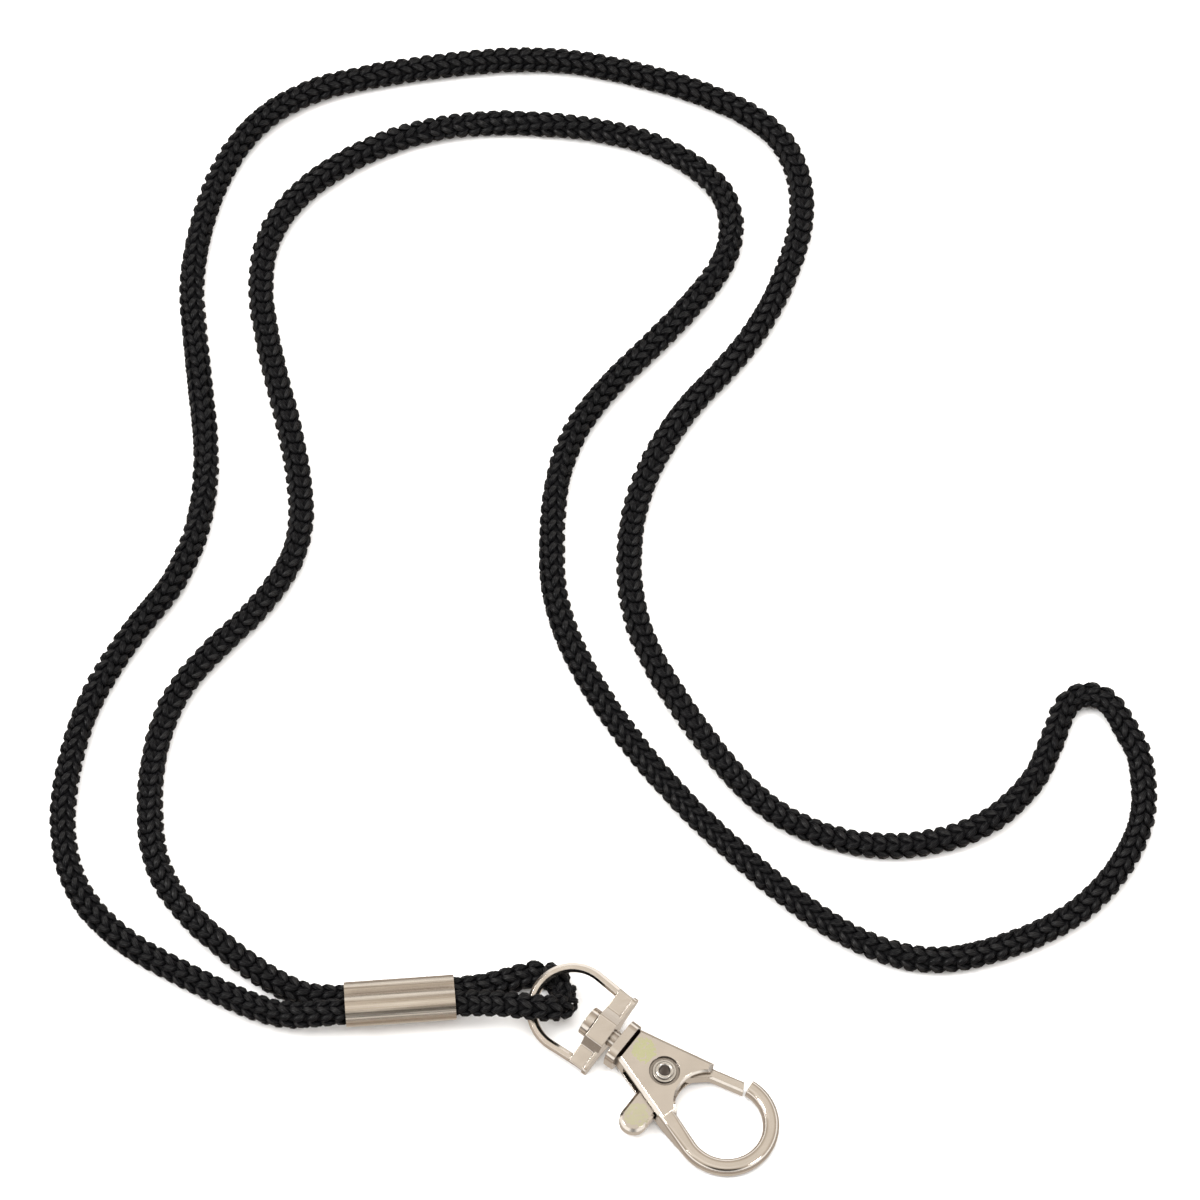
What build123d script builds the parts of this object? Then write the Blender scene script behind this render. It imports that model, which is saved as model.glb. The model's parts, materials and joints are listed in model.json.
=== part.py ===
"""Neck lanyard: knitted cord loop, crimped ferrule, swivel ring and sprung trigger hook.

Lengths are millimetres. The lanyard lies on the plane z = 0, and +X runs along the
ferrule towards the clasp. The origin is below the middle of the ferrule and clasp.
"""

import os
from math import atan2, cos, degrees, radians, sin, tan

from build123d import *

os.makedirs("parts", exist_ok=True)

# ---------------------------------------------------------------- driving sizes

# Cord
cord_diameter = 3.5
cord_rest_height = 1.8

# Ferrule: one metal strip crimped round two runs of cord
ferrule_length = 14.0
ferrule_wall = 0.3
ferrule_bore_spacing = 3.8
ferrule_seam = 0.1
ferrule_roll = 41.0
ferrule_center_x = -19.835
ferrule_center_y = 11.303

# The cord is squeezed into one mass between these two places, counted from the ferrule's middle
crimp_start_x = -4.2
crimp_end_x = 4.8

# Where the clasp lies: its origin is the middle of the rivet
clasp_from_ferrule_x = 32.6
clasp_from_ferrule_y = -12.4
rivet_height = 2.36
clasp_azimuth = -41.2
clasp_tilt = 4.66
ring_roll = 20.0

# Swivel ring
ring_wire_width = 1.2
ring_wire_thickness = 1.45
ring_wire_chamfer = 0.36
ring_bow_radius = 5.3
ring_bow_center_x = -14.4
ring_arm_lean = 3.6
ring_base_inner_x = -10.85
ring_base_length = 2.6
ring_base_half_width = 5.62
ring_base_half_thickness = 0.85
ring_hub_half_height = 1.95
ring_hub_half_width = 2.9
ring_hub_flat_half = 1.6
ring_base_rounding = 0.3
ring_bore_clearance = 0.05
ring_lip_thickness = 0.5
ring_lip_overhang = 0.22

# Hook body
body_thickness = 3.5
body_bevel = 0.45
body_back_x = -5.9
body_back_top_y = 2.65
body_back_bottom_y = -2.2
nose_top_x = 4.35
nose_top_y = 4.75
nose_end_x = 4.9
nose_end_y = 2.9
eye_back_center_x = 6.95
eye_back_radius = 4.2
eye_bevel = 0.28
bow_center_x = 10.1
bow_center_y = -0.4
bow_radius = 5.75
bow_wire_width = 2.0
bow_wire_height = 2.1
bow_wire_rounding = 0.74
bow_start_angle = -106.8
bow_end_angle = 95.0
arm_blend_length = 4.0
arm_root_length = 1.5
plate_end_setback = 0.5
plate_end_excess = 0.6

# Flange and swivel stud, cast with the hook
flange_x = -7.15
flange_width = 6.2
flange_height = 4.5
flange_corner = 1.4
flange_bevel = 0.3
stud_diameter = 2.3
stud_head_diameter = 3.9
stud_head_length = 1.1
stud_head_gap = 0.1
stud_head_rounding = 0.42

# Slot for the gate lever
slot_clearance = 0.06
slot_back_x = -4.4
slot_front_x = 2.62
slot_back_top_y = 0.95

# Gate lever
lever_thickness = 1.88
lever_hub_radius = 2.6
tab_center_x = 0.62
tab_width = 3.6
tab_reach = 9.0
tab_bevel = 0.35
finger_bevel = 0.3
lever_bore_clearance = 0.07

# Pivot rivet: a tube with a wide foot and a rolled lip at each end
rivet_shank_diameter = 1.96
rivet_bore_diameter = 1.4
rivet_foot_diameter = 3.0
rivet_foot_thickness = 0.3
rivet_lip_diameter = 2.3
rivet_lip_rise = 0.75
rivet_back_lip_rise = 0.5
rivet_hole_clearance = 0.02
recess_diameter = 3.9
recess_depth = 0.4

# Gate spring: a torsion coil round the rivet, in a pocket in the lever
spring_wire_diameter = 0.34
spring_coil_radius = 1.72
spring_turns = 2.1
spring_pitch = 0.38
spring_start_angle = 100.0
spring_face_gap = 0.1
spring_fixed_leg = 3.6
spring_lever_leg = 1.25
pocket_inner_radius = 1.36
pocket_outer_radius = 2.1
pocket_depth = 1.4

# ---------------------------------------------------------------- worked-out values

cord_radius = cord_diameter / 2
lobe_radius = cord_radius + ferrule_wall
body_half = body_thickness / 2
lever_half = lever_thickness / 2
slot_half = lever_half + slot_clearance
ring_bore_radius = stud_diameter / 2 + ring_bore_clearance

roll = radians(ferrule_roll)
lobe_offset_y = ferrule_bore_spacing / 2 * cos(roll)
lobe_offset_z = ferrule_bore_spacing / 2 * sin(roll)
ferrule_center_z = lobe_radius + lobe_offset_z
near_lobe = (-lobe_offset_y, ferrule_center_z + lobe_offset_z)
far_lobe = (lobe_offset_y, ferrule_center_z - lobe_offset_z)


def turned(direction):
    """A direction of the clasp's own frame, tilted and turned to where the clasp lies."""
    return Vector(*direction).rotate(Axis.Y, clasp_tilt).rotate(Axis.Z, clasp_azimuth)


clasp_origin = Vector(
    ferrule_center_x + clasp_from_ferrule_x,
    ferrule_center_y + clasp_from_ferrule_y,
    rivet_height,
)
# X runs along the swivel axis to the hook's bow, Z is the hook's flat face
clasp = Plane(clasp_origin, x_dir=turned((1, 0, 0)), z_dir=turned((0, 0, 1)))
swivel_axis = Axis(clasp_origin, clasp.x_dir)
ring = Plane(
    clasp_origin,
    x_dir=clasp.x_dir,
    z_dir=clasp.z_dir.rotate(Axis((0, 0, 0), clasp.x_dir), ring_roll),
)


def across(frame, x):
    """The plane square to the swivel axis at x, with the frame's Y and Z as its own X and Y."""
    return Plane(frame.from_local_coords((x, 0, 0)), x_dir=frame.y_dir, z_dir=frame.x_dir)


def local_center(frame, shape):
    return frame.to_local_coords(shape.center())


def cord_radii(points, share=0.45):
    """The radius of each corner: a share of the shorter run over the tangent of half the turn."""
    radii = []
    for before, corner, after in zip(points, points[1:], points[2:]):
        run_in = Vector(*corner) - Vector(*before)
        run_out = Vector(*after) - Vector(*corner)
        half_turn = radians(run_in.get_angle(run_out)) / 2
        radii.append(share * min(run_in.length, run_out.length) / tan(half_turn))
    return radii


def placed(points):
    """Points counted from the ferrule's middle, moved to where the ferrule lies."""
    return [(x + ferrule_center_x, y + ferrule_center_y, z) for x, y, z in points]


# ---------------------------------------------------------------- cord

table = cord_rest_height

# The neck loop, counted from the middle of the ferrule: out of the near lobe, round, and back
neck_points = [
    (crimp_start_x, *near_lobe),
    (-9.4, *near_lobe),
    (-15.0, -1.15, 3.4),
    (-22.5, 3.2, 1.9),
    (-38.0, 13.6, table),
    (-42.8, 25.9, table),
    (-39.6, 42.9, table),
    (-32.5, 54.9, table),
    (-24.5, 63.9, table),
    (-20.3, 77.4, table),
    (-21.2, 96.4, table),
    (-21.6, 110.4, table),
    (-16.1, 127.2, table),
    (-6.5, 136.4, table),
    (9.0, 139.1, table),
    (27.5, 139.9, table),
    (41.0, 136.2, table),
    (53.5, 130.4, table),
    (60.6, 123.9, table),
    (62.3, 113.2, table),
    (58.0, 101.1, table),
    (51.9, 91.7, table),
    (41.8, 82.0, table),
    (35.0, 69.7, table),
    (33.4, 56.2, table),
    (36.1, 45.1, table),
    (44.9, 28.7, table),
    (52.4, 20.9, table),
    (63.7, 16.8, table),
    (75.8, 18.5, table),
    (83.6, 24.6, table),
    (87.0, 31.3, table),
    (89.5, 37.1, table),
    (94.3, 37.0, table),
    (96.6, 31.8, table),
    (98.1, 27.4, table),
    (97.6, 18.6, table),
    (92.4, 10.3, table),
    (85.2, 4.7, table),
    (73.6, 1.0, table),
    (65.6, 1.1, table),
    (57.0, 5.5, table),
    (47.5, 14.4, table),
    (36.0, 28.3, table),
    (27.4, 43.6, table),
    (23.7, 55.4, table),
    (24.0, 65.4, table),
    (25.8, 76.4, table),
    (30.9, 85.5, table),
    (44.0, 97.4, table),
    (51.7, 106.7, table),
    (52.0, 116.2, table),
    (44.8, 123.6, table),
    (35.0, 127.8, table),
    (21.0, 130.0, table),
    (9.2, 129.1, table),
    (-2.2, 124.0, table),
    (-9.6, 117.0, table),
    (-12.4, 108.4, table),
    (-11.7, 97.4, table),
    (-8.6, 79.9, table),
    (-8.5, 67.4, table),
    (-14.3, 58.4, table),
    (-22.5, 51.4, table),
    (-27.8, 44.4, table),
    (-30.6, 33.9, table),
    (-30.5, 21.4, table),
    (-24.7, 12.3, table),
    (-14.8, 3.35, 1.9),
    (-9.6, *far_lobe),
    (crimp_start_x, *far_lobe),
]

# The eye: out of the far lobe, round the swivel ring's bow, and back into the near lobe
eye_points = [
    (crimp_end_x, *far_lobe),
    (9.2, *far_lobe),
    (13.6, 2.3, table),
    (18.2, 3.3, 1.83),
    (20.7, 1.3, 1.8),
    (20.9, -2.25, 2.95),
    (18.7, -3.65, 5.8),
    (13.6, -2.6, 5.9),
    (9.2, *near_lobe),
    (crimp_end_x, *near_lobe),
]


def cord_tube(name, points):
    """A round tube along straight runs joined by tangent arcs."""
    route = placed(points)
    radii = cord_radii(route)
    with BuildPart() as tube:
        with BuildLine() as path:
            FilletPolyline(*route, radius=radii)
        wire = path.wires()[0]
        with BuildSketch(Plane(wire @ 0, z_dir=wire % 0)):
            Circle(cord_radius)
        sweep(path=wire)
    section = 3.141592653589793 * cord_radius**2
    print(name, "length", round(wire.length, 1), "volume ratio",
          round(tube.part.volume / (section * wire.length), 4))
    print(name, "radii", [round(radius, 1) for radius in radii])
    return tube


neck_cord = cord_tube("neck_cord", neck_points)
neck_cord.part.label = "neck_cord"
export_step(neck_cord.part, "parts/neck_cord.step")

eye_loop = cord_tube("eye_loop", eye_points)
eye_loop.part.label = "eye_loop"
export_step(eye_loop.part, "parts/eye_loop.step")

# ---------------------------------------------------------------- ferrule

# Square to the ferrule: X from the near lobe to the far lobe, Y out of the groove
ferrule_end = Plane(
    (ferrule_center_x - ferrule_length / 2, ferrule_center_y, ferrule_center_z),
    x_dir=(0, cos(roll), -sin(roll)),
    z_dir=(1, 0, 0),
)
half_spacing = ferrule_bore_spacing / 2

with BuildPart() as ferrule:
    with BuildSketch(ferrule_end):
        with Locations((-half_spacing, 0), (half_spacing, 0)):
            Circle(lobe_radius)
        with Locations((0, -lobe_radius / 2)):
            Rectangle(ferrule_bore_spacing, lobe_radius)
        with Locations((-half_spacing, 0), (half_spacing, 0)):
            Circle(cord_radius, mode=Mode.SUBTRACT)
        with Locations((0, -cord_radius / 2)):
            Rectangle(ferrule_bore_spacing, cord_radius, mode=Mode.SUBTRACT)
        with Locations((0, lobe_radius / 2)):
            Rectangle(ferrule_seam, lobe_radius + 2 * ferrule_seam, mode=Mode.SUBTRACT)
    extrude(amount=ferrule_length)
ferrule.part.label = "ferrule"
export_step(ferrule.part, "parts/ferrule.step")

# The cord inside the ferrule, squeezed until its two runs fill the strip
with BuildPart() as crimped_cord:
    with BuildSketch(ferrule_end.offset(ferrule_length / 2 + crimp_start_x)):
        with Locations((-half_spacing, 0), (half_spacing, 0)):
            Circle(cord_radius)
        with Locations((0, -cord_radius / 2)):
            Rectangle(ferrule_bore_spacing, cord_radius)
    extrude(amount=crimp_end_x - crimp_start_x)
crimped_cord.part.label = "crimped_cord"
export_step(crimped_cord.part, "parts/crimped_cord.step")

# ---------------------------------------------------------------- swivel ring

# The wire's middle line leaves the bow along straight arms that lean in to the base
lean = radians(ring_arm_lean)
arm_start = (ring_bow_center_x + ring_bow_radius * sin(lean), ring_bow_radius * cos(lean))
arm_end_x = ring_base_inner_x + ring_base_length / 2
arm_end_y = arm_start[1] - (arm_end_x - arm_start[0]) * tan(lean)
bow_far = (ring_bow_center_x - ring_bow_radius, 0)

with BuildPart() as swivel_ring:
    with BuildLine(ring) as ring_path:
        Line((arm_end_x, arm_end_y), arm_start)
        ThreePointArc(arm_start, bow_far, (arm_start[0], -arm_start[1]))
        Line((arm_start[0], -arm_start[1]), (arm_end_x, -arm_end_y))
    ring_wire = ring_path.wires()[0]
    with BuildSketch(Plane(ring_wire @ 0, x_dir=ring.z_dir, z_dir=ring_wire % 0)) as wire_section:
        Rectangle(ring_wire_thickness, ring_wire_width)
        chamfer(wire_section.vertices(), ring_wire_chamfer)
    sweep(path=ring_wire)
    # The base bar rises to a hub round the stud
    with BuildSketch(across(ring, ring_base_inner_x)) as base_section:
        with BuildLine():
            upper = [
                (ring_base_half_width, ring_base_half_thickness),
                (ring_hub_half_width, ring_base_half_thickness),
                (ring_hub_flat_half, ring_hub_half_height),
                (-ring_hub_flat_half, ring_hub_half_height),
                (-ring_hub_half_width, ring_base_half_thickness),
                (-ring_base_half_width, ring_base_half_thickness),
            ]
            lower = [(-v, -n) for v, n in upper]
            Polyline(*upper, *lower, close=True)
        make_face()
        fillet(base_section.vertices(), ring_base_rounding)
    extrude(amount=ring_base_length)
    # A thin lip on the hook's side stands a little proud of the bar
    with BuildSketch(across(ring, ring_base_inner_x + ring_base_length - ring_lip_thickness)):
        RectangleRounded(
            2 * (ring_base_half_width + ring_lip_overhang),
            2 * (ring_base_half_thickness + ring_lip_overhang),
            ring_base_half_thickness,
        )
    extrude(amount=ring_lip_thickness)
    with BuildSketch(across(ring, ring_base_inner_x)):
        Circle(ring_bore_radius)
    extrude(amount=ring_base_length, mode=Mode.SUBTRACT)
swivel_ring.part.label = "swivel_ring"
export_step(swivel_ring.part, "parts/swivel_ring.step")

# ---------------------------------------------------------------- hook body


def bow_point(angle, radius):
    """A point of the clasp's plane, on a circle round the middle of the bow."""
    return (
        bow_center_x + radius * cos(radians(angle)),
        bow_center_y + radius * sin(radians(angle)),
    )


bow_center = clasp.from_local_coords((bow_center_x, bow_center_y, 0))
arm_heading = radians(bow_start_angle + 90)
arm_half = bow_wire_width / 2
arm_end = bow_point(bow_start_angle, bow_radius)


def arm_point(back, side):
    """A point of the straight arm, back from the bow's start and to its outer side."""
    x = arm_end[0] - back * cos(arm_heading) + side * sin(arm_heading)
    y = arm_end[1] - back * sin(arm_heading) - side * cos(arm_heading)
    return (x, y)


def arm_plane(back):
    """The plane square to the arm, with its X across the arm and its Y along the clasp's Z."""
    x, y = arm_point(back, 0)
    direction = clasp.x_dir * cos(arm_heading) + clasp.y_dir * sin(arm_heading)
    return Plane(
        clasp.from_local_coords((x, y, 0)), x_dir=clasp.z_dir.cross(direction), z_dir=direction
    )


plate_outline = [
    (body_back_x, body_back_top_y),
    (nose_top_x, nose_top_y),
    (nose_end_x, nose_end_y),
    (eye_back_center_x, 0),
    arm_point(arm_blend_length + plate_end_setback, -arm_half - plate_end_excess),
    arm_point(arm_blend_length + plate_end_setback, arm_half),
    (body_back_x, body_back_bottom_y),
]
stud_tip_x = ring_base_inner_x - stud_head_gap - stud_head_length

with BuildPart() as hook_body:
    with BuildSketch(clasp):
        with BuildLine():
            Polyline(*plate_outline, close=True)
        make_face()
        with Locations((eye_back_center_x, 0)):
            Circle(eye_back_radius, mode=Mode.SUBTRACT)
    extrude(amount=body_half, both=True)

    def on_face(edge):
        """Whether an edge lies in one of the two flat faces."""
        return abs(abs(local_center(clasp, edge).Z) - body_half) < 0.01

    chamfer(hook_body.edges().filter_by(GeomType.LINE).filter_by(on_face), body_bevel)
    chamfer(hook_body.edges().filter_by(GeomType.CIRCLE).filter_by(on_face), eye_bevel)

    # The arm starts inside the plate, at its full height
    with BuildSketch(arm_plane(arm_blend_length + arm_root_length)):
        RectangleRounded(bow_wire_width, body_thickness - 0.02, body_bevel)
    extrude(amount=arm_root_length)
    # The arm narrows from the plate to the bow's rounded wire
    for back, height, rounding in (
        (arm_blend_length, body_thickness - 0.02, body_bevel),
        (arm_blend_length / 2, (body_thickness + bow_wire_height) / 2, 0.6),
        (0, bow_wire_height, bow_wire_rounding),
    ):
        with BuildSketch(arm_plane(back)):
            RectangleRounded(bow_wire_width, height, rounding)
    loft()
    # The bow turns about its own middle
    with BuildSketch(arm_plane(0)):
        RectangleRounded(bow_wire_width, bow_wire_height, bow_wire_rounding)
    revolve(
        axis=Axis(bow_center, clasp.z_dir),
        revolution_arc=bow_end_angle - bow_start_angle,
    )

    # Flange and swivel stud
    with BuildSketch(across(clasp, flange_x)):
        RectangleRounded(flange_width, flange_height, flange_corner)
    extrude(amount=body_back_x - flange_x)
    with BuildSketch(across(clasp, ring_base_inner_x - stud_head_gap)):
        Circle(stud_diameter / 2)
    extrude(amount=flange_x - ring_base_inner_x + stud_head_gap)
    with BuildSketch(across(clasp, stud_tip_x)):
        Circle(stud_head_diameter / 2)
    extrude(amount=stud_head_length)

    # Slot for the gate lever, open to the tab, the eye and the nose
    with BuildSketch(clasp):
        with BuildLine():
            Polyline(
                (slot_back_x, -tab_reach),
                (slot_front_x, -tab_reach),
                (slot_front_x, -3.0),
                (3.3, 0),
                (6.5, 0),
                (6.5, 5.3),
                (4.4, 4.47),
                (-0.55, 2.8),
                (-2.6, 2.3),
                (slot_back_x, slot_back_top_y),
                close=True,
            )
        make_face()
    extrude(amount=slot_half, both=True, mode=Mode.SUBTRACT)

    # Rivet hole and the recess round each end of the rivet
    with BuildSketch(clasp.offset(-body_half)):
        Circle(rivet_shank_diameter / 2 + rivet_hole_clearance)
    extrude(amount=body_thickness, mode=Mode.SUBTRACT)
    with BuildSketch(clasp.offset(body_half - recess_depth)):
        Circle(recess_diameter / 2)
    extrude(amount=recess_depth, mode=Mode.SUBTRACT)
    with BuildSketch(clasp.offset(-body_half)):
        Circle(recess_diameter / 2)
    extrude(amount=recess_depth, mode=Mode.SUBTRACT)
hook_body.part.label = "hook_body"
export_step(hook_body.part, "parts/hook_body.step")

# ---------------------------------------------------------------- gate lever

finger_outline = [
    (-0.5, 2.5),
    (4.4, 4.32),
    (8.72, 5.38),
    (9.42, 4.15),
    (4.7, 3.0),
    (2.4, 0.9),
]
tab_end_radius = tab_width / 2

with BuildPart() as gate_lever:
    with BuildSketch(clasp):
        Circle(lever_hub_radius)
        with BuildLine():
            Polyline(*finger_outline, close=True)
        make_face()
        with Locations((tab_center_x, -(tab_reach - tab_end_radius) / 2)):
            Rectangle(tab_width, tab_reach - tab_end_radius)
        with Locations((tab_center_x, -(tab_reach - tab_end_radius))):
            Circle(tab_end_radius)
    extrude(amount=lever_half, both=True)
    # The tab and the finger have bevelled rims where they stand out of the slot
    tab_rim = gate_lever.edges().filter_by(
        lambda edge: abs(abs(local_center(clasp, edge).Z) - lever_half) < 0.01
        and local_center(clasp, edge).Y < -3.0
    )
    chamfer(tab_rim, tab_bevel)
    finger_rim = gate_lever.edges().filter_by(
        lambda edge: abs(abs(local_center(clasp, edge).Z) - lever_half) < 0.01
        and local_center(clasp, edge).X > 6.0
        and edge.length > 3.0
    )
    chamfer(finger_rim, finger_bevel)
    # Bore for the rivet, and a pocket for the spring's coil and its short leg
    with BuildSketch(clasp.offset(-lever_half)):
        Circle(rivet_shank_diameter / 2 + lever_bore_clearance)
    extrude(amount=lever_thickness, mode=Mode.SUBTRACT)
    with BuildSketch(clasp.offset(-lever_half)):
        Circle(pocket_outer_radius)
        Circle(pocket_inner_radius, mode=Mode.SUBTRACT)
        with Locations((1.9, 0.97)):
            Rectangle(0.7, 0.8)
        with BuildLine():
            Polyline(
                (-0.36, 2.04),
                (-3.3, 1.52),
                (-3.3, -0.85),
                (-2.81, -0.46),
                (-0.84, 1.08),
                close=True,
            )
        make_face()
        Circle(pocket_inner_radius, mode=Mode.SUBTRACT)
    extrude(amount=pocket_depth, mode=Mode.SUBTRACT)
gate_lever.part.label = "gate_lever"
export_step(gate_lever.part, "parts/gate_lever.step")

# ---------------------------------------------------------------- pivot rivet

# The plane that holds the rivet's axis: X is the radius, Y is along the axis
rivet_section = Plane(clasp_origin, x_dir=clasp.x_dir, z_dir=-clasp.y_dir)
foot_level = body_half - recess_depth
shank_radius = rivet_shank_diameter / 2
foot_radius = rivet_foot_diameter / 2
lip_radius = rivet_lip_diameter / 2
rivet_bore_radius = rivet_bore_diameter / 2


def rivet_end(side, rise):
    """Half of the rivet's outline, from the shank out over the foot and lip to the bore."""
    return [
        (shank_radius, side * foot_level),
        (foot_radius, side * foot_level),
        (foot_radius, side * (foot_level + rivet_foot_thickness)),
        (lip_radius, side * (foot_level + rivet_foot_thickness)),
        (lip_radius, side * (foot_level + rise - 0.15)),
        (lip_radius - 0.12, side * (foot_level + rise)),
        (rivet_bore_radius + 0.12, side * (foot_level + rise)),
        (rivet_bore_radius, side * (foot_level + rise - 0.12)),
    ]


with BuildPart() as pivot_rivet:
    with BuildSketch(rivet_section):
        with BuildLine():
            front = rivet_end(1, rivet_lip_rise)
            back = rivet_end(-1, rivet_back_lip_rise)
            Polyline(*front, *reversed(back), close=True)
        make_face()
    revolve(axis=Axis(clasp_origin, clasp.z_dir))
pivot_rivet.part.label = "pivot_rivet"
export_step(pivot_rivet.part, "parts/pivot_rivet.step")

# ---------------------------------------------------------------- gate spring

# The coil starts under the top edge of the slot and ends in the lever's notch
coil_frame = Plane(
    clasp.from_local_coords((0, 0, -lever_half + spring_face_gap + spring_wire_diameter / 2)),
    x_dir=clasp.x_dir.rotate(Axis((0, 0, 0), clasp.z_dir), spring_start_angle),
    z_dir=clasp.z_dir,
)
coil = coil_frame.from_local_coords(
    Helix(
        pitch=spring_pitch,
        height=spring_turns * spring_pitch,
        radius=spring_coil_radius,
        lefthand=True,
    )
)

with BuildPart() as gate_spring:
    with BuildLine() as spring_path:
        add(coil)
        Line(coil @ 0, (coil @ 0) - (coil % 0) * spring_fixed_leg)
        Line(coil @ 1, (coil @ 1) + (coil % 1) * spring_lever_leg)
    spring_wire = spring_path.wires()[0]
    with BuildSketch(Plane(spring_wire @ 0, z_dir=spring_wire % 0)):
        Circle(spring_wire_diameter / 2)
    sweep(path=spring_wire)
gate_spring.part.label = "gate_spring"
export_step(gate_spring.part, "parts/gate_spring.step")
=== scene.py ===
# %% [markdown]
# # A knitted neck lanyard with a swivel trigger hook
# The metal pieces come from the CAD model as a fixed frame. This lesson adds what CAD leaves
# plain: the knitted cord, the plated and brushed finishes, the table and the light.

# %% Load the frame
import json
from math import cos, pi, radians, sin

import bpy
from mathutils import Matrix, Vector


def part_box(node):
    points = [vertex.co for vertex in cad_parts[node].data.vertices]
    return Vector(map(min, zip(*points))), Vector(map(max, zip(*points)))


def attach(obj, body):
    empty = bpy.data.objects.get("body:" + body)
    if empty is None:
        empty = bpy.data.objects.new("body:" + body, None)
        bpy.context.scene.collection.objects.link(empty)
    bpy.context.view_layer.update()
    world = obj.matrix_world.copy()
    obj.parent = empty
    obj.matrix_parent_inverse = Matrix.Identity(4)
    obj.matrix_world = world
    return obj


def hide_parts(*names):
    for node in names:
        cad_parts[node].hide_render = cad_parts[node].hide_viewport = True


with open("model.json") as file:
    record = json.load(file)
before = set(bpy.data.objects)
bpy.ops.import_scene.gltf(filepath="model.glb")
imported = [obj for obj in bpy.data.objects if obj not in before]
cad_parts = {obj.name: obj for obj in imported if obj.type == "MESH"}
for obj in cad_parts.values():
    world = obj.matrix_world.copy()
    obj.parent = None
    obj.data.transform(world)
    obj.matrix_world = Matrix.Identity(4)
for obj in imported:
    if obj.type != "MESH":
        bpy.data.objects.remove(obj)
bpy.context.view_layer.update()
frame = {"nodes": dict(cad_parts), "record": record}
print("pieces from CAD:", sorted(frame["nodes"]))

# %% Places that everything else is counted from
MM = 0.001
ferrule_low, ferrule_high = (Vector(corner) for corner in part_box("ferrule"))
FERRULE_MIDDLE = Vector(((ferrule_low.x + ferrule_high.x) / 2, (ferrule_low.y + ferrule_high.y) / 2, 0))
joints = {joint["name"]: joint for joint in frame["record"]["behaviour"]["joints"]}
RIVET_MIDDLE = Vector(joints["gate_hinge"]["pos_m"])
CLASP_ALONG = Vector(joints["hook_swivel"]["axis"]).normalized()
CLASP_UP = -Vector(joints["gate_hinge"]["axis"]).normalized()
CLASP_ACROSS = CLASP_UP.cross(CLASP_ALONG)
print("ferrule middle", [round(c, 5) for c in FERRULE_MIDDLE])

# %% [markdown]
# ## Table, camera and light
# Small metal goods lie on a white table under soft boxes, and are seen from high up through a
# long lens. The table is a plain plane. Plated metal shows only
# what it reflects, so the world is a simple painted studio: a warm ceiling, white walls, a
# brown floor and one dark side behind the camera. These draw the dark and bright bands that
# make metal look like metal. The white table is kept out of reflections, because it would
# bleach the sides of the metal until their outline was lost.

# %% Table
TABLE_HALF = 1.5


def make_table():
    corners = [(-1, -1), (1, -1), (1, 1), (-1, 1)]
    mesh = bpy.data.meshes.new("table")
    mesh.from_pydata([(x * TABLE_HALF, y * TABLE_HALF, 0.0) for x, y in corners], [], [(0, 1, 2, 3)])
    table = bpy.data.objects.new("table", mesh)
    bpy.context.collection.objects.link(table)
    paper = bpy.data.materials.new("white_table")
    paper.use_nodes = True
    shader = paper.node_tree.nodes["Principled BSDF"]
    shader.inputs["Base Color"].default_value = (0.93, 0.93, 0.93, 1)
    shader.inputs["Roughness"].default_value = 0.7
    mesh.materials.append(paper)
    return table


table = make_table()
table.visible_glossy = False
print("table", TABLE_HALF * 2, "m square")

# %% Camera
AIM = FERRULE_MIDDLE + Vector((0.02985, 0.05672, 0.0))
CAMERA_FROM_AIM = Vector((-0.0302, -0.3929, 0.7738))

camera_data = bpy.data.cameras.new("camera")
camera_data.sensor_width = 36.0
camera_data.lens = 198.0
camera_data.clip_start = 0.01
camera = bpy.data.objects.new("camera", camera_data)
bpy.context.collection.objects.link(camera)
camera.location = AIM + CAMERA_FROM_AIM
camera.rotation_euler = (-CAMERA_FROM_AIM).to_track_quat("-Z", "Y").to_euler()
bpy.context.scene.camera = camera
print("camera", [round(c, 3) for c in camera.location])

# %% Light


def add_softbox(name, place, size, power, mirrored=True):
    """An area light that faces the lanyard. Metal and yarn mirror it only where mirrored is true."""
    data = bpy.data.lights.new(name, "AREA")
    data.shape = "SQUARE"
    data.size = size
    data.energy = power
    lamp = bpy.data.objects.new(name, data)
    bpy.context.collection.objects.link(lamp)
    lamp.location = place
    lamp.rotation_euler = (AIM - Vector(place)).to_track_quat("-Z", "Y").to_euler()
    lamp.visible_glossy = mirrored
    return lamp


add_softbox("fill_over", (0.0, 0.1, 1.4), 1.6, 34.0, mirrored=False)
add_softbox("key_left", (-0.75, -0.05, 0.95), 0.35, 7.0)
add_softbox("key_right", (0.65, -0.45, 0.8), 0.2, 1.5)
bpy.context.scene.view_settings.view_transform = "Standard"


# How far up a direction points, and the colour of the studio there
SKY = (
    (-1.0, (0.72, 0.65, 0.57)),
    (-0.72, (0.34, 0.27, 0.22)),
    (-0.35, (0.62, 0.55, 0.48)),
    (-0.04, (0.10, 0.075, 0.06)),
    (0.06, (1.25, 1.22, 1.18)),
    (0.42, (1.3, 1.27, 1.22)),
    (0.6, (0.44, 0.37, 0.31)),
    (0.88, (0.70, 0.62, 0.53)),
    (1.0, (1.0, 0.94, 0.86)),
)


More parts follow.
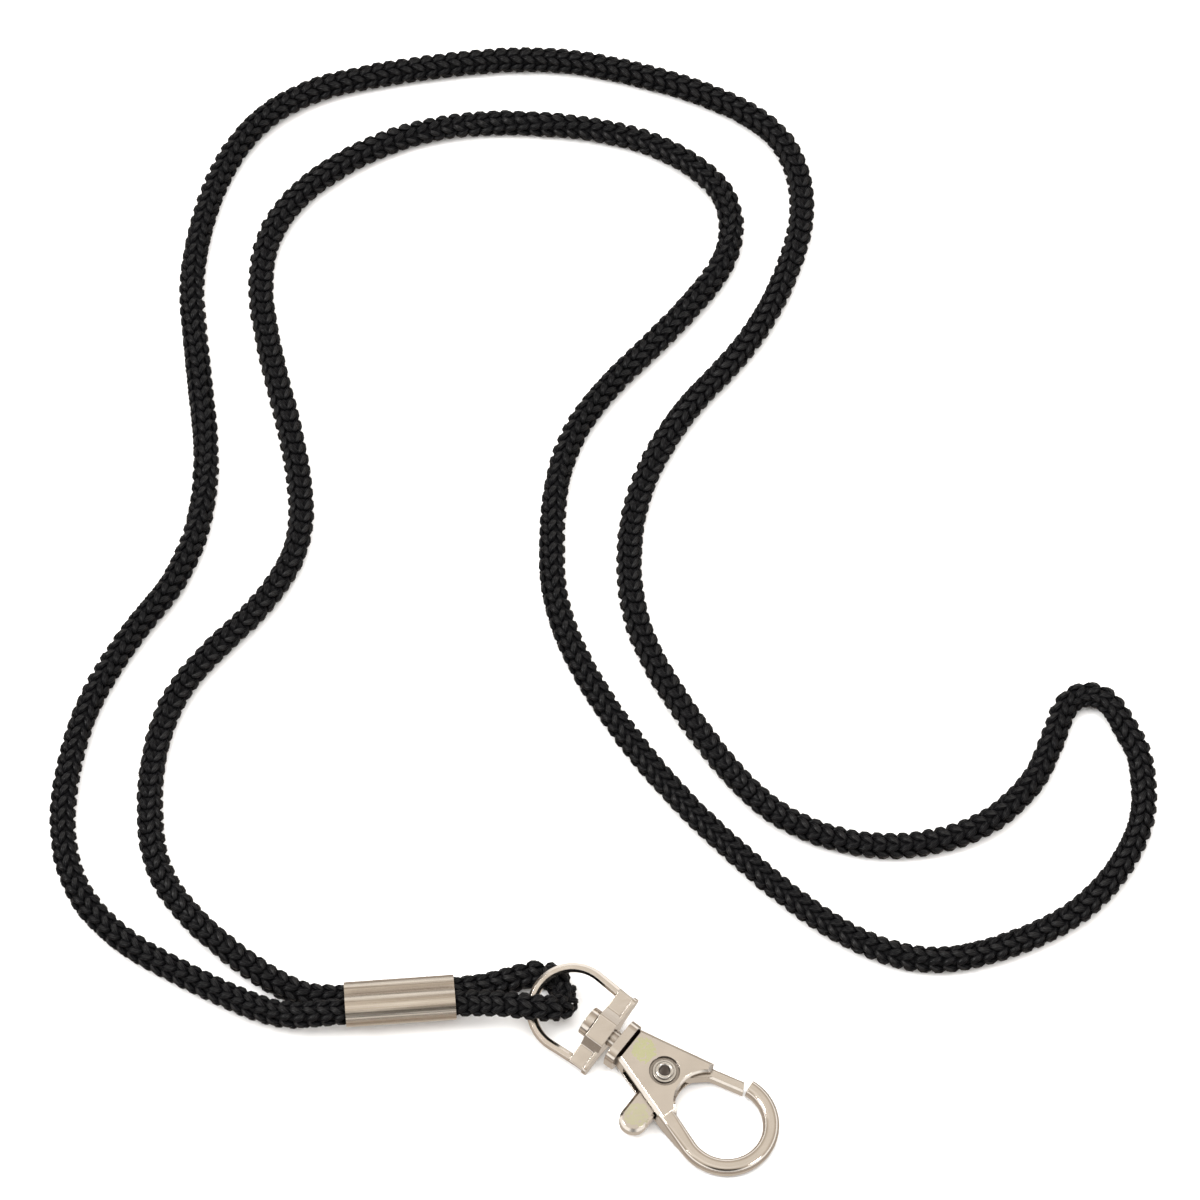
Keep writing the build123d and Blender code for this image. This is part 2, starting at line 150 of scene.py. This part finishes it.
def paint_studio(world):
    """A ceiling, walls and a dark side, chosen by the direction that a ray leaves in."""
    world.use_nodes = True
    tree = world.node_tree
    nodes, links = tree.nodes, tree.links
    nodes.clear()
    direction = nodes.new("ShaderNodeTexCoord")
    split = nodes.new("ShaderNodeSeparateXYZ")
    links.new(direction.outputs["Generated"], split.inputs[0])
    lift = nodes.new("ShaderNodeMapRange")
    lift.inputs["From Min"].default_value = -1.0
    links.new(split.outputs["Z"], lift.inputs["Value"])
    height = nodes.new("ShaderNodeValToRGB")
    ramp = height.color_ramp
    ramp.elements[0].position = 0.0
    ramp.elements[0].color = SKY[0][1] + (1,)
    ramp.elements[1].position = 1.0
    ramp.elements[1].color = SKY[-1][1] + (1,)
    for up, colour in SKY[1:-1]:
        ramp.elements.new((up + 1) / 2).color = colour + (1,)
    links.new(lift.outputs["Result"], height.inputs["Fac"])
    toward = nodes.new("ShaderNodeVectorMath")
    toward.operation = "DOT_PRODUCT"
    toward.inputs[1].default_value = Vector((0.0, -0.80, 0.60)).normalized()
    links.new(direction.outputs["Generated"], toward.inputs[0])
    dark = nodes.new("ShaderNodeMapRange")
    dark.interpolation_type = "SMOOTHSTEP"
    dark.inputs["From Min"].default_value = 0.86
    dark.inputs["From Max"].default_value = 0.97
    dark.inputs["To Min"].default_value = 1.0
    dark.inputs["To Max"].default_value = 0.14
    links.new(toward.outputs["Value"], dark.inputs["Value"])
    shade = nodes.new("ShaderNodeVectorMath")
    shade.operation = "SCALE"
    links.new(height.outputs["Color"], shade.inputs[0])
    links.new(dark.outputs["Result"], shade.inputs["Scale"])
    background = nodes.new("ShaderNodeBackground")
    background.inputs["Strength"].default_value = 0.9
    links.new(shade.outputs["Vector"], background.inputs["Color"])
    output = nodes.new("ShaderNodeOutputWorld")
    links.new(background.outputs[0], output.inputs["Surface"])


studio = bpy.context.scene.world or bpy.data.worlds.new("studio")
bpy.context.scene.world = studio
paint_studio(studio)

# %% [markdown]
# ## The cord's line
# The real cord is one soft length that lies where it was dropped. Its line could be drawn by
# hand or simulated. Here it is a NURBS curve whose control points are the same points that
# the CAD tube follows, so both lie in the same place. A NURBS curve has no straight runs and
# no sudden arcs, so it looks like cloth and not like bent wire. Its order is set after its
# points are there, because an empty spline can't hold an order of 3.

# %% Control points, in millimetres from the middle of the ferrule
NEAR_LOBE = (-1.434, 4.543)
FAR_LOBE = (1.434, 2.05)
TABLE_Z = 1.8

neck_points = [
    (-4.2, *NEAR_LOBE),
    (-9.4, *NEAR_LOBE),
    (-15.0, -1.15, 3.4),
    (-22.5, 3.2, 1.9),
    (-38.0, 13.6, TABLE_Z),
    (-42.8, 25.9, TABLE_Z),
    (-39.6, 42.9, TABLE_Z),
    (-32.5, 54.9, TABLE_Z),
    (-24.5, 63.9, TABLE_Z),
    (-20.3, 77.4, TABLE_Z),
    (-21.2, 96.4, TABLE_Z),
    (-21.6, 110.4, TABLE_Z),
    (-16.1, 127.2, TABLE_Z),
    (-6.5, 136.4, TABLE_Z),
    (9.0, 139.1, TABLE_Z),
    (27.5, 139.9, TABLE_Z),
    (41.0, 136.2, TABLE_Z),
    (53.5, 130.4, TABLE_Z),
    (60.6, 123.9, TABLE_Z),
    (62.3, 113.2, TABLE_Z),
    (58.0, 101.1, TABLE_Z),
    (51.9, 91.7, TABLE_Z),
    (41.8, 82.0, TABLE_Z),
    (35.0, 69.7, TABLE_Z),
    (33.4, 56.2, TABLE_Z),
    (36.1, 45.1, TABLE_Z),
    (44.9, 28.7, TABLE_Z),
    (52.4, 20.9, TABLE_Z),
    (63.7, 16.8, TABLE_Z),
    (75.8, 18.5, TABLE_Z),
    (83.6, 24.6, TABLE_Z),
    (87.0, 31.3, TABLE_Z),
    (89.5, 37.1, TABLE_Z),
    (94.3, 37.0, TABLE_Z),
    (96.6, 31.8, TABLE_Z),
    (98.1, 27.4, TABLE_Z),
    (97.6, 18.6, TABLE_Z),
    (92.4, 10.3, TABLE_Z),
    (85.2, 4.7, TABLE_Z),
    (73.6, 1.0, TABLE_Z),
    (65.6, 1.1, TABLE_Z),
    (57.0, 5.5, TABLE_Z),
    (47.5, 14.4, TABLE_Z),
    (36.0, 28.3, TABLE_Z),
    (27.4, 43.6, TABLE_Z),
    (23.7, 55.4, TABLE_Z),
    (24.0, 65.4, TABLE_Z),
    (25.8, 76.4, TABLE_Z),
    (30.9, 85.5, TABLE_Z),
    (44.0, 97.4, TABLE_Z),
    (51.7, 106.7, TABLE_Z),
    (52.0, 116.2, TABLE_Z),
    (44.8, 123.6, TABLE_Z),
    (35.0, 127.8, TABLE_Z),
    (21.0, 130.0, TABLE_Z),
    (9.2, 129.1, TABLE_Z),
    (-2.2, 124.0, TABLE_Z),
    (-9.6, 117.0, TABLE_Z),
    (-12.4, 108.4, TABLE_Z),
    (-11.7, 97.4, TABLE_Z),
    (-8.6, 79.9, TABLE_Z),
    (-8.5, 67.4, TABLE_Z),
    (-14.3, 58.4, TABLE_Z),
    (-22.5, 51.4, TABLE_Z),
    (-27.8, 44.4, TABLE_Z),
    (-30.6, 33.9, TABLE_Z),
    (-30.5, 21.4, TABLE_Z),
    (-24.7, 12.3, TABLE_Z),
    (-14.8, 3.35, 1.9),
    (-9.6, *FAR_LOBE),
    (-4.2, *FAR_LOBE),
]

eye_points = [
    (4.8, *FAR_LOBE),
    (9.2, *FAR_LOBE),
    (13.6, 2.3, TABLE_Z),
    (18.2, 3.3, 1.83),
    (20.7, 1.3, 1.8),
    (20.9, -2.25, 2.95),
    (18.7, -3.65, 5.8),
    (13.6, -2.6, 5.9),
    (9.2, *NEAR_LOBE),
    (4.8, *NEAR_LOBE),
]

# %% Read the smooth line back as points


def cord_line(name, points):
    """The points along a NURBS curve, in metres."""
    curve = bpy.data.curves.new(name, "CURVE")
    curve.dimensions = "3D"
    curve.resolution_u = 10
    spline = curve.splines.new("NURBS")
    spline.points.add(len(points) - 1)
    for point, at in zip(spline.points, points):
        point.co = (*(Vector(at) * MM + FERRULE_MIDDLE), 1.0)
    spline.use_endpoint_u = True
    spline.order_u = 3
    holder = bpy.data.objects.new(name, curve)
    bpy.context.collection.objects.link(holder)
    depsgraph = bpy.context.evaluated_depsgraph_get()
    mesh = bpy.data.meshes.new_from_object(holder.evaluated_get(depsgraph))
    line = [vertex.co.copy() for vertex in mesh.vertices]
    bpy.data.objects.remove(holder)
    bpy.data.meshes.remove(mesh)
    return line


def line_length(line):
    return sum((b - a).length for a, b in zip(line, line[1:]))


neck_line = cord_line("neck_line", neck_points)
eye_line = cord_line("eye_line", eye_points)
print("neck line", round(line_length(neck_line), 4), "m in", len(neck_line), "points")
print("eye line", round(line_length(eye_line), 4), "m in", len(eye_line), "points")

# %% [markdown]
# ## One stitch
# The cord is knitted as a thin tube. Each column of the tube is a chain of V shapes, and each
# V is two plump legs of loose filament yarn. A bump texture could fake them, but the outline
# of the cord is bumpy, so the legs are real. Thousands are needed, so one leg is a closed
# spindle of six sides. It carries an attribute that runs around and along the yarn, which
# the material later uses to draw the filaments.

# %% Stitch sizes, in metres
STITCH_PITCH = 0.00169
STITCH_COLUMNS = 4
LEG_SIDES = 6
# Each row is one place along a leg, from the point of the V to its tip: how far along it is,
# the radius of its middle from the cord's line, its half width and its half depth
LEG_STATIONS = (
    (0.08, 0.00118, 0.00034, 0.00028),
    (0.34, 0.00136, 0.00047, 0.00041),
    (0.66, 0.00138, 0.00046, 0.00040),
    (0.94, 0.00118, 0.00028, 0.00024),
)
LEG_FIRST_ANGLE = radians(5)
LEG_LAST_ANGLE = radians(45)
LEG_HEIGHT = 0.00182
CORE_RADIUS = 0.00112

# %% Build the stitch


def stitch_mesh():
    """Two plump legs that meet in a point at +Z, for a cord along Z seen from +X."""
    vertices, faces, yarn = [], [], []
    for side in (-1, 1):

        def centre(t, radius):
            angle = side * (LEG_FIRST_ANGLE + (LEG_LAST_ANGLE - LEG_FIRST_ANGLE) * t)
            return Vector((radius * cos(angle), radius * sin(angle), LEG_HEIGHT * (0.5 - t)))

        first = len(vertices)
        vertices.append(centre(-0.02, LEG_STATIONS[0][1] - 0.00012))
        yarn.append((0.5, 0.0, side))
        for t, radius, half_width, half_depth in LEG_STATIONS:
            middle = centre(t, radius)
            along = (centre(t + 0.05, radius) - centre(t - 0.05, radius)).normalized()
            outward = Vector((middle.x, middle.y, 0)).normalized()
            across = along.cross(outward).normalized()
            for k in range(LEG_SIDES):
                angle = 2 * pi * (k + 0.5) / LEG_SIDES + pi
                offset = outward * cos(angle) * half_depth + across * sin(angle) * half_width
                vertices.append(middle + offset)
                yarn.append(((k + 0.5) / LEG_SIDES, t, side))
        vertices.append(centre(1.08, LEG_STATIONS[-1][1] - 0.00014))
        yarn.append((0.5, 1.0, side))
        last = len(vertices) - 1
        rings = [first + 1 + LEG_SIDES * n for n in range(len(LEG_STATIONS))]
        for k in range(LEG_SIDES):
            after = (k + 1) % LEG_SIDES
            faces.append((first, rings[0] + after, rings[0] + k))
            for low, high in zip(rings, rings[1:]):
                faces.append((low + k, low + after, high + after, high + k))
            faces.append((rings[-1] + k, rings[-1] + after, last))
    mesh = bpy.data.meshes.new("stitch")
    mesh.from_pydata([tuple(v) for v in vertices], [], faces)
    attribute = mesh.attributes.new("yarn", "FLOAT_VECTOR", "POINT")
    for item, value in zip(attribute.data, yarn):
        item.vector = value
    mesh.shade_smooth()
    mesh.update()
    return mesh


stitch = bpy.data.objects.new("stitch", stitch_mesh())
bpy.context.collection.objects.link(stitch)
print("stitch faces", len(stitch.data.polygons))

# %% [markdown]
# ## Knit along a line
# Copying a stitch about two thousand times is work for Geometry Nodes. The tree takes the
# cord's line, makes a ring of stitches, each a little further along than the one before, as a
# knitting machine lays them, and sets one ring on every pitch of the line. Each ring is turned
# slowly by a smooth noise, because the columns of a loose cord wander. A thin core closes the
# gaps between the legs. The tree ends by making the copies real, so they can be exported.

# %% Build the knitting tree


def knit_tree():
    tree = bpy.data.node_groups.new("knit_cord", "GeometryNodeTree")
    interface = tree.interface
    interface.new_socket("Line", in_out="INPUT", socket_type="NodeSocketGeometry")
    for label, kind in (
        ("Stitch", "NodeSocketObject"),
        ("Rings", "NodeSocketInt"),
        ("Columns", "NodeSocketInt"),
        ("Pitch", "NodeSocketFloat"),
        ("Core radius", "NodeSocketFloat"),
        ("Wander", "NodeSocketFloat"),
        ("Seed", "NodeSocketInt"),
        ("Finish", "NodeSocketMaterial"),
    ):
        interface.new_socket(label, in_out="INPUT", socket_type=kind)
    interface.new_socket("Knit", in_out="OUTPUT", socket_type="NodeSocketGeometry")
    nodes, links = tree.nodes, tree.links
    given = nodes.new("NodeGroupInput")

    def node(kind, inputs=(), **settings):
        made = nodes.new(kind)
        for name, value in settings.items():
            setattr(made, name, value)
        for name, value in dict(inputs).items():
            if isinstance(value, bpy.types.NodeSocket):
                links.new(value, made.inputs[name])
            else:
                made.inputs[name].default_value = value
        return made

    # One ring: a stitch for each column, turned and moved along by its share
    stitch_info = node("GeometryNodeObjectInfo", {"Object": given.outputs["Stitch"]})
    seats = node("GeometryNodeMeshLine", {"Count": given.outputs["Columns"], "Offset": (0, 0, 0)})
    index = node("GeometryNodeInputIndex")
    share = node(
        "ShaderNodeMath",
        {0: index.outputs[0], 1: given.outputs["Columns"]},
        operation="DIVIDE",
    )
    turn = node("ShaderNodeMath", {0: share.outputs[0], 1: 2 * pi}, operation="MULTIPLY")
    rise = node(
        "ShaderNodeMath",
        {0: share.outputs[0], 1: given.outputs["Pitch"]},
        operation="MULTIPLY",
    )
    seat_turn = node("ShaderNodeCombineXYZ", {"Z": turn.outputs[0]})
    seat_rise = node("ShaderNodeCombineXYZ", {"Z": rise.outputs[0]})
    lifted = node(
        "GeometryNodeSetPosition",
        {"Geometry": seats.outputs["Mesh"], "Offset": seat_rise.outputs[0]},
    )
    ring = node(
        "GeometryNodeInstanceOnPoints",
        {
            "Points": lifted.outputs["Geometry"],
            "Instance": stitch_info.outputs["Geometry"],
            "Rotation": seat_turn.outputs[0],
        },
    )
    # Rings on the line
    line = node("GeometryNodeMeshToCurve", {"Mesh": given.outputs["Line"]})
    posts = node(
        "GeometryNodeCurveToPoints",
        {"Curve": line.outputs["Curve"], "Count": given.outputs["Rings"]},
        mode="COUNT",
    )
    drift = node(
        "ShaderNodeTexNoise",
        {"W": index.outputs[0], "Scale": 0.021, "Detail": 1.0},
        noise_dimensions="1D",
    )
    drift_turn = node(
        "ShaderNodeMath",
        {0: drift.outputs[0], 1: given.outputs["Wander"]},
        operation="MULTIPLY",
    )
    drift_euler = node("ShaderNodeCombineXYZ", {"Z": drift_turn.outputs[0]})
    wandered = node(
        "FunctionNodeRotateRotation",
        {"Rotation": posts.outputs["Rotation"], "Rotate By": drift_euler.outputs[0]},
        rotation_space="LOCAL",
    )
    rings = node(
        "GeometryNodeInstanceOnPoints",
        {
            "Points": posts.outputs["Points"],
            "Instance": ring.outputs["Instances"],
            "Rotation": wandered.outputs[0],
        },
    )
    loose_rings = node("GeometryNodeRealizeInstances", {"Geometry": rings.outputs["Instances"]})
    # Small uneven swelling, so no two stitches match
    uneven = node(
        "ShaderNodeTexNoise",
        {"Scale": 420.0, "Detail": 1.0, "W": given.outputs["Seed"]},
        noise_dimensions="4D",
    )
    centred = node(
        "ShaderNodeVectorMath",
        {0: uneven.outputs["Color"], 1: (0.5, 0.5, 0.5)},
        operation="SUBTRACT",
    )
    nudge = node(
        "ShaderNodeVectorMath",
        {0: centred.outputs[0], "Scale": 0.00026},
        operation="SCALE",
    )
    nudged = node(
        "GeometryNodeSetPosition",
        {"Geometry": loose_rings.outputs["Geometry"], "Offset": nudge.outputs[0]},
    )
    # The core
    section = node(
        "GeometryNodeCurvePrimitiveCircle",
        {"Resolution": 8, "Radius": given.outputs["Core radius"]},
        mode="RADIUS",
    )
    spaced = node(
        "GeometryNodeResampleCurve",
        {"Curve": line.outputs["Curve"], "Count": given.outputs["Rings"]},
        mode="COUNT",
    )
    core = node(
        "GeometryNodeCurveToMesh",
        {
            "Curve": spaced.outputs["Curve"],
            "Profile Curve": section.outputs["Curve"],
            "Fill Caps": True,
        },
    )
    both = node("GeometryNodeJoinGeometry")
    links.new(nudged.outputs["Geometry"], both.inputs["Geometry"])
    links.new(core.outputs["Mesh"], both.inputs["Geometry"])
    real = node("GeometryNodeRealizeInstances", {"Geometry": both.outputs["Geometry"]})
    finished = node(
        "GeometryNodeSetMaterial",
        {"Geometry": real.outputs["Geometry"], "Material": given.outputs["Finish"]},
    )
    result = node("NodeGroupOutput")
    links.new(finished.outputs["Geometry"], result.inputs["Knit"])
    return tree


knitting = knit_tree()
print("knitting tree nodes", len(knitting.nodes))

# %% [markdown]
# ## Black filament yarn
# The yarn is shiny black polyester: a few dozen fine filaments, laid side by side, that catch
# the light in grey streaks. The colour stays near black. The streaks come from a fine bump
# across the yarn and from uneven gloss. Between the stitches an ambient occlusion mask turns
# the reflection off, which is painted shade.

# %% Yarn finish


def new_material(name):
    material = bpy.data.materials.new(name)
    material.use_nodes = True
    tree = material.node_tree
    shader = tree.nodes["Principled BSDF"]

    def node(kind, inputs=(), **settings):
        made = tree.nodes.new(kind)
        for key, value in settings.items():
            setattr(made, key, value)
        for key, value in dict(inputs).items():
            if isinstance(value, bpy.types.NodeSocket):
                tree.links.new(value, made.inputs[key])
            else:
                made.inputs[key].default_value = value
        return made

    return material, tree, shader, node


def two_tone(node, factor, low, low_colour, high, high_colour):
    """A colour that runs from low_colour to high_colour between two values of a factor."""
    made = node("ShaderNodeValToRGB", {"Fac": factor})
    ends = made.color_ramp.elements
    ends[0].position, ends[0].color = low, (*low_colour, 1)
    ends[1].position, ends[1].color = high, (*high_colour, 1)
    return made.outputs["Color"]


def yarn_material():
    material, tree, shader, node = new_material("black_filament_yarn")
    yarn = node("ShaderNodeAttribute", attribute_name="yarn")
    place = node("ShaderNodeTexCoord")
    stretched = node(
        "ShaderNodeVectorMath",
        {0: yarn.outputs["Vector"], 1: (26.0, 1.6, 3.0)},
        operation="MULTIPLY",
    )
    filaments = node(
        "ShaderNodeTexNoise",
        {"Vector": stretched.outputs[0], "Scale": 1.0, "Detail": 3.0, "Roughness": 0.6},
    )
    patches = node(
        "ShaderNodeTexNoise",
        {"Vector": place.outputs["Object"], "Scale": 900.0, "Detail": 2.0},
    )
    black = two_tone(
        node, filaments.outputs[0], 0.32, (0.0025, 0.0025, 0.003), 0.7, (0.009, 0.009, 0.0095)
    )
    tree.links.new(black, shader.inputs["Base Color"])
    gloss = node(
        "ShaderNodeMapRange",
        {"Value": patches.outputs[0], "From Min": 0.3, "From Max": 0.7, "To Min": 0.26, "To Max": 0.42},
    )
    tree.links.new(gloss.outputs[0], shader.inputs["Roughness"])
    glint = node(
        "ShaderNodeMapRange",
        {"Value": filaments.outputs[0], "From Min": 0.44, "From Max": 0.72, "To Min": 0.0, "To Max": 0.75},
    )
    # Painted shade: ambient occlusion turns the reflection off in the crevices between the stitches
    shelter = node("ShaderNodeAmbientOcclusion", {"Distance": 0.0008}, samples=4)
    crevice_shade_mask = node(
        "ShaderNodeMapRange",
        {"Value": shelter.outputs["AO"], "From Min": 0.35, "From Max": 0.9},
    )
    mirror = node("ShaderNodeMath", {0: glint.outputs[0], 1: crevice_shade_mask.outputs[0]}, operation="MULTIPLY")
    tree.links.new(mirror.outputs[0], shader.inputs["Specular IOR Level"])
    ridges = node(
        "ShaderNodeBump",
        {"Height": filaments.outputs[0], "Strength": 0.7, "Distance": 0.00012},
    )
    tree.links.new(ridges.outputs[0], shader.inputs["Normal"])
    return material


yarn_finish = yarn_material()
print("material", yarn_finish.name)

# %% Knit both stretches of cord


def knit(name, line, wander, seed):
    """A knitted cord along a line, as a plain mesh."""
    mesh = bpy.data.meshes.new(name)
    edges = [(k, k + 1) for k in range(len(line) - 1)]
    mesh.from_pydata([tuple(point) for point in line], edges, [])
    piece = bpy.data.objects.new(name, mesh)
    bpy.context.collection.objects.link(piece)
    modifier = piece.modifiers.new("knit", "NODES")
    modifier.node_group = knitting
    rings = round(line_length(line) / STITCH_PITCH) + 1
    values = {
        "Stitch": stitch,
        "Rings": rings,
        "Columns": STITCH_COLUMNS,
        "Pitch": STITCH_PITCH,
        "Core radius": CORE_RADIUS,
        "Wander": wander,
        "Seed": seed,
        "Finish": yarn_finish,
    }
    for item in knitting.interface.items_tree:
        if item.in_out == "INPUT" and item.name in values:
            modifier[item.identifier] = values[item.name]
    depsgraph = bpy.context.evaluated_depsgraph_get()
    plain = bpy.data.meshes.new_from_object(piece.evaluated_get(depsgraph))
    piece.modifiers.remove(modifier)
    piece.data = plain
    plain.name = name
    print(name, rings, "rings", sum(len(p.vertices) - 2 for p in plain.polygons), "triangles")
    return piece


neck_cord = knit("knitted_neck_cord", neck_line, 6.0, 3)
eye_cord = knit("knitted_eye_cord", list(reversed(eye_line)), 1.0, 8)
bpy.data.objects.remove(stitch)

for piece, line, node_name in (
    (neck_cord, neck_line, "neck_cord"),
    (eye_cord, eye_line, "eye_loop"),
):
    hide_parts(node_name)
    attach(piece, "root")

# %% [markdown]
# ## Bright nickel plate
# The clasp is a die casting, tumbled and then plated with bright nickel. Its colour is a warm
# grey, close to pale straw. It mirrors the studio, but the casting under it is never flat, so
# the mirror image wavers. Fine rub marks break up the gloss, and an ambient occlusion mask
# paints the recesses near-black brown, which is painted shade. Two flecked yellow-green patches lie on the
# metal.

# %% Nickel finish


# Each patch's middle along and across the clasp from the rivet, its reach, both in millimetres,
# and how strongly it covers the metal
YELLOW_GREEN_PATCHES = ((-3.7, 0.6, 2.3, 0.8), (0.6, -6.6, 2.6, 0.45))
PLATE_TOP = 1.75
# Colour of the flecked yellow-green patches
PATCH_YELLOW_GREEN = (0.80, 0.85, 0.50, 1)
# Colour of the painted shade in the recesses
PAINTED_RECESS_SHADE = (0.05, 0.032, 0.024, 1)
BEVEL_RADIUS = 0.00013


def add_yellow_green_patches(node, position, surface):
    """Two flecked yellow-green patches, one on the plate and one on the thumb tab."""
    flecks = node("ShaderNodeTexNoise", {"Vector": position, "Scale": 2300.0, "Detail": 4.0})
    for along, across, reach, amount in YELLOW_GREEN_PATCHES:
        middle = (
            RIVET_MIDDLE
            + CLASP_ALONG * along * MM
            + CLASP_ACROSS * across * MM
            + CLASP_UP * PLATE_TOP * MM
        )
        away = node("ShaderNodeVectorMath", {0: position, 1: tuple(middle)}, operation="DISTANCE")
        near = node(
            "ShaderNodeMapRange",
            {
                "Value": away.outputs["Value"],
                "From Min": reach * MM,
                "From Max": reach * MM * 0.55,
                "To Min": 0.0,
                "To Max": 0.5,
            },
        )
        sum_up = node("ShaderNodeMath", {0: near.outputs[0], 1: flecks.outputs[0]}, operation="ADD")
        mask = node(
            "ShaderNodeMapRange",
            {
                "Value": sum_up.outputs[0],
                "From Min": 0.84,
                "From Max": 0.95,
                "To Min": 0.0,
                "To Max": amount,
            },
        )
        patched = node(
            "ShaderNodeMixRGB",
            {"Fac": mask.outputs[0], "Color1": surface, "Color2": PATCH_YELLOW_GREEN},
        )
        surface = patched.outputs["Color"]
    return surface


def nickel_material(name, colour, rough_low, rough_high, patched=False, recess_reach=0.0009):
    material, tree, shader, node = new_material(name)
    place = node("ShaderNodeTexCoord")
    waves = node(
        "ShaderNodeTexNoise",
        {"Vector": place.outputs["Object"], "Scale": 330.0, "Detail": 1.0},
    )
    grain = node(
        "ShaderNodeTexNoise",
        {"Vector": place.outputs["Object"], "Scale": 3800.0, "Detail": 3.0},
    )
    rubs_place = node(
        "ShaderNodeMapping",
        {"Vector": place.outputs["Object"], "Rotation": (0.0, 0.0, radians(41)), "Scale": (500, 7000, 900)},
    )
    rubs = node("ShaderNodeTexNoise", {"Vector": rubs_place.outputs[0], "Scale": 1.0, "Detail": 3.0})
    gloss = node(
        "ShaderNodeMapRange",
        {
            "Value": rubs.outputs[0],
            "From Min": 0.35,
            "From Max": 0.7,
            "To Min": rough_low,
            "To Max": rough_high,
        },
    )
    tree.links.new(gloss.outputs[0], shader.inputs["Roughness"])
    film = two_tone(node, waves.outputs[0], 0.3, [c * 0.93 for c in colour], 0.7, colour)
    # Painted shade: ambient occlusion darkens the recesses towards a near-black brown
    shelter = node("ShaderNodeAmbientOcclusion", {"Distance": recess_reach}, samples=8)
    open_air = node(
        "ShaderNodeMapRange",
        {"Value": shelter.outputs["AO"], "From Min": 0.3, "From Max": 0.82},
    )
    recess_shaded = node(
        "ShaderNodeMixRGB",
        {
            "Fac": open_air.outputs[0],
            "Color1": PAINTED_RECESS_SHADE,
            "Color2": film,
        },
    )
    surface = recess_shaded.outputs["Color"]
    # Two flecked yellow-green patches, on the plate and on the thumb tab
    if patched:
        surface = add_yellow_green_patches(node, place.outputs["Object"], surface)
    tree.links.new(surface, shader.inputs["Base Color"])
    rounded = node("ShaderNodeBevel", {"Radius": BEVEL_RADIUS}, samples=4)
    dents = node(
        "ShaderNodeBump",
        {
            "Height": waves.outputs[0],
            "Strength": 0.10,
            "Distance": 0.0003,
            "Normal": rounded.outputs[0],
        },
    )
    fine = node(
        "ShaderNodeBump",
        {
            "Height": grain.outputs[0],
            "Strength": 0.10,
            "Distance": 0.00002,
            "Normal": dents.outputs[0],
        },
    )
    tree.links.new(fine.outputs[0], shader.inputs["Normal"])
    shader.inputs["Metallic"].default_value = 1.0
    return material


# Colour of the painted shade in the ferrule's grooves
GROOVE_SHADE_BROWN = (0.10, 0.055, 0.035, 1)


def brushed_material():
    """Strip metal drawn through rollers: streaks run along X, the ferrule's length."""
    material, tree, shader, node = new_material("brushed_nickel_strip")
    place = node("ShaderNodeTexCoord")
    drawn = node(
        "ShaderNodeMapping",
        {"Vector": place.outputs["Object"], "Scale": (60.0, 5200.0, 5200.0)},
    )
    streaks = node("ShaderNodeTexNoise", {"Vector": drawn.outputs[0], "Scale": 1.0, "Detail": 4.0})
    gloss = node(
        "ShaderNodeMapRange",
        {"Value": streaks.outputs[0], "From Min": 0.3, "From Max": 0.7, "To Min": 0.2, "To Max": 0.36},
    )
    tree.links.new(gloss.outputs[0], shader.inputs["Roughness"])
    # Painted shade: ambient occlusion darkens the crimp's grooves towards a dark brown
    shelter = node("ShaderNodeAmbientOcclusion", {"Distance": 0.0022}, samples=8)
    groove_shade_mask = node(
        "ShaderNodeMapRange",
        {"Value": shelter.outputs["AO"], "From Min": 0.5, "From Max": 0.86},
    )
    tone = two_tone(node, streaks.outputs[0], 0.3, (0.62, 0.56, 0.49), 0.7, (0.80, 0.73, 0.64))
    surface = node(
        "ShaderNodeMixRGB",
        {
            "Fac": groove_shade_mask.outputs[0],
            "Color1": GROOVE_SHADE_BROWN,
            "Color2": tone,
        },
    )
    tree.links.new(surface.outputs["Color"], shader.inputs["Base Color"])
    lines = node("ShaderNodeBump", {"Height": streaks.outputs[0], "Strength": 0.35, "Distance": 0.00005})
    tree.links.new(lines.outputs[0], shader.inputs["Normal"])
    shader.inputs["Metallic"].default_value = 1.0
    shader.inputs["Anisotropic"].default_value = 0.4
    return material


clasp_nickel = nickel_material("bright_nickel_casting", (0.86, 0.80, 0.73), 0.09, 0.22, patched=True)
rivet_nickel = nickel_material("bright_nickel_tube", (0.86, 0.83, 0.78), 0.08, 0.18, recess_reach=0.003)
spring_steel = nickel_material("drawn_spring_wire", (0.52, 0.52, 0.53), 0.22, 0.38)
ferrule_nickel = brushed_material()

# %% Give each CAD piece its finish
finishes = {
    "ferrule": ferrule_nickel,
    "crimped_cord": yarn_finish,
    "swivel_ring": clasp_nickel,
    "hook_body": clasp_nickel,
    "gate_lever": clasp_nickel,
    "pivot_rivet": rivet_nickel,
    "gate_spring": spring_steel,
}
for node_name, material in finishes.items():
    piece = frame["nodes"][node_name]
    for place in piece.material_slots:
        place.material = material
    print(node_name, "wears", material.name)
